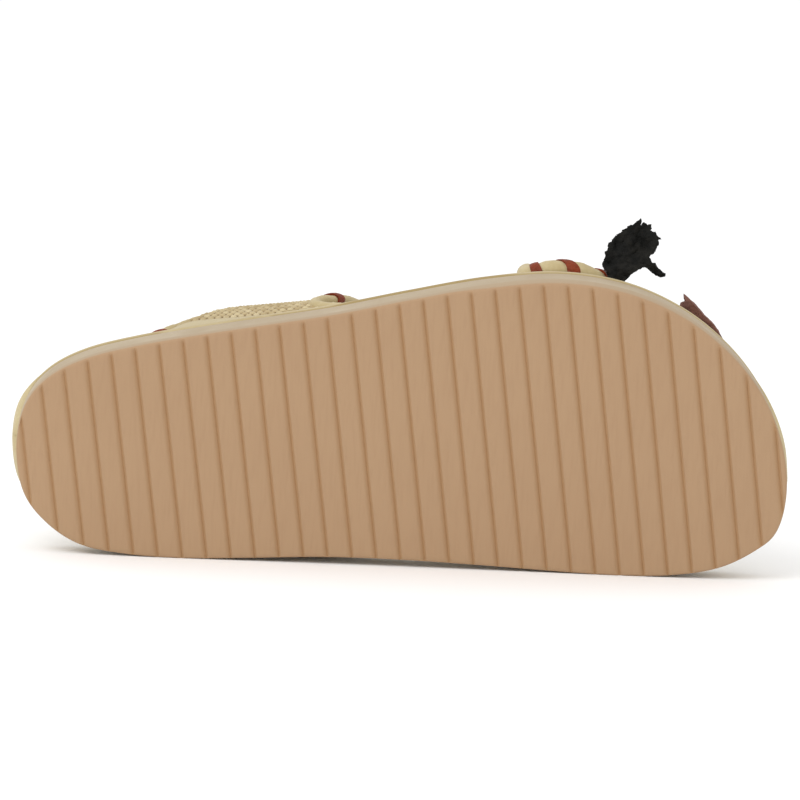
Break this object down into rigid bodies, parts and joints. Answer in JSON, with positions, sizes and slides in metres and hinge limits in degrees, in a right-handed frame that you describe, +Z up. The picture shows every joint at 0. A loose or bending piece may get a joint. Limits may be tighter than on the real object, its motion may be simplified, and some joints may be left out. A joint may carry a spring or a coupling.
{
  "type": "flat sandal",
  "caption": "Flat sandal for a right foot with a ribbed sole, two woven bands with rolled edges and leather leaves, lying on its inner side.",
  "frame": {"origin": "bottom centre of the bounding box, on the floor that the shoe's inner side lies on", "axes": "+X from heel to toe, +Z up to the outer side of the shoe, +Y from the tread towards the upper"},
  "size_m": [0.254, 0.0848, 0.1165],
  "materials": {
    "tread": "matt tan moulded sheet with faint streaks along the ribs",
    "foam": "matt grey-beige foam",
    "cover": "soft cream nubuck",
    "raffia": "plain weave of flat raffia strands",
    "roll": "padded cream suede roll",
    "lace": "smooth chestnut leather lace with a soft gloss",
    "black_leather": "crumpled matt black leather",
    "brown_leather": "dark cocoa leather with a dark cut edge"
  },
  "bodies": {
    "root": {"outsole": "tread", "midsole": "foam", "footbed": "cover", "instep_band": "raffia", "instep_rear_binding": "roll", "instep_front_binding": "roll", "toe_band": "raffia", "toe_band_binding": "roll", "black_leaf": "black_leather", "brown_leaf": "brown_leather"}
  },
  "joints": []
}
